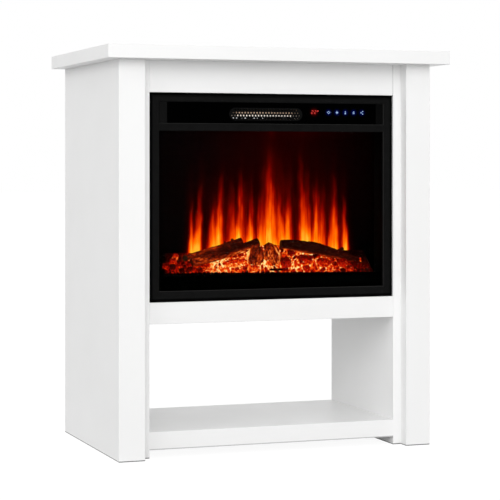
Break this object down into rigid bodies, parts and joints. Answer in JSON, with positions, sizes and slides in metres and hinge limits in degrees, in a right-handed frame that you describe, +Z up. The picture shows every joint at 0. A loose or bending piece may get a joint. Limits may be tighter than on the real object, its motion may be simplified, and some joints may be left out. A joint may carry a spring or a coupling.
{
  "type": "electric fireplace",
  "caption": "Free-standing white fireplace mantel with an electric insert: touch control strip, warm-air grille, glazed log and flame effect, and an open shelf below.",
  "frame": {"origin": "on the floor under the middle of the outer box", "axes": "+Z up, +X to the right as seen from the front, +Y to the back; the fire faces -Y"},
  "size_m": [0.698, 0.442, 0.78],
  "materials": {
    "white_lacquer": "satin white lacquer on fibreboard",
    "plain_timber": "sawn softwood",
    "black_frame": "fine matt black",
    "smoked_glass": "clear, faintly smoked",
    "control_gloss": "high-gloss black",
    "grille_black": "satin black",
    "casing_black": "matt black",
    "bright_sheet": "plain mill finish",
    "element_ceramic": "warm glowing element",
    "fan_black": "moulded",
    "motor_steel": "zinc plated",
    "bearing_nylon": "moulded nylon",
    "circuit_green": "lacquered circuit board",
    "ember_resin": "translucent, lit from below",
    "log_resin": "moulded bark",
    "flame_acrylic": "dark translucent screen, lit from behind",
    "switch_black": "moulded",
    "screw_steel": "zinc plated",
    "rubber_black": "matt"
  },
  "bodies": {
    "fireplace": {"bottom_shelf": "white_lacquer", "bracket_screws": "screw_steel", "casing_back": "casing_black", "casing_screws": "screw_steel", "casing_shell": "casing_black", "centre_left_log": "log_resin", "centre_right_log": "log_resin", "control_board": "circuit_green", "control_glass": "control_gloss", "control_tray": "black_frame", "display_board": "circuit_green", "ember_bed": "ember_resin", "ember_lamp_board": "circuit_green", "fan_housing": "bright_sheet", "fan_motor": "motor_steel", "fascia_board": "white_lacquer", "fixing_brackets": "casing_black", "flame_lamp_board": "circuit_green", "flame_screen": "flame_acrylic", "front_frame": "black_frame", "front_glass": "smoked_glass", "hearth_lip": "casing_black", "heater_bulkhead": "casing_black", "heater_duct": "bright_sheet", "heating_element": "element_ceramic", "insert_feet": "rubber_black", "insert_rail": "white_lacquer", "insert_shelf": "white_lacquer", "left_back_log": "log_resin", "left_back_strip": "white_lacquer", "left_end_cap": "black_frame", "left_front_log": "log_resin", "left_inner_panel": "white_lacquer", "left_leg_front": "white_lacquer", "left_leg_return": "white_lacquer", "left_side_panel": "white_lacquer", "lower_stretcher": "white_lacquer", "outlet_grille": "grille_black", "panel_screws": "screw_steel", "power_inlet": "switch_black", "right_back_strip": "white_lacquer", "right_end_cap": "black_frame", "right_inner_panel": "white_lacquer", "right_leg_front": "white_lacquer", "right_leg_return": "white_lacquer", "right_log": "log_resin", "right_side_panel": "white_lacquer", "rocker_body": "switch_black", "spindle_bearing": "bearing_nylon", "spindle_motor": "motor_steel", "thermal_cutout": "motor_steel", "top_battens": "plain_timber", "top_board": "white_lacquer", "top_screws": "screw_steel", "upper_stretcher": "white_lacquer"},
    "flame_spindle": {"flame_spindle": "bright_sheet"},
    "fan_wheel": {"fan_wheel": "fan_black"},
    "power_rocker": {"power_rocker": "switch_black"}
  },
  "joints": [
    {"name": "flame_spindle_spin", "type": "hinge", "parent": "fireplace", "child": "flame_spindle", "pos_m": [0, -0.0545, 0.3465], "axis": [1, 0, 0], "continuous": true},
    {"name": "fan_spin", "type": "hinge", "parent": "fireplace", "child": "fan_wheel", "pos_m": [-0.0155, -0.0765, 0.65375], "axis": [1, 0, 0], "continuous": true},
    {"name": "power_switch", "type": "hinge", "parent": "fireplace", "child": "power_rocker", "pos_m": [0.142, 0.0075, 0.65575], "axis": [1, 0, 0], "range_deg": [-16, 0]}
  ]
}
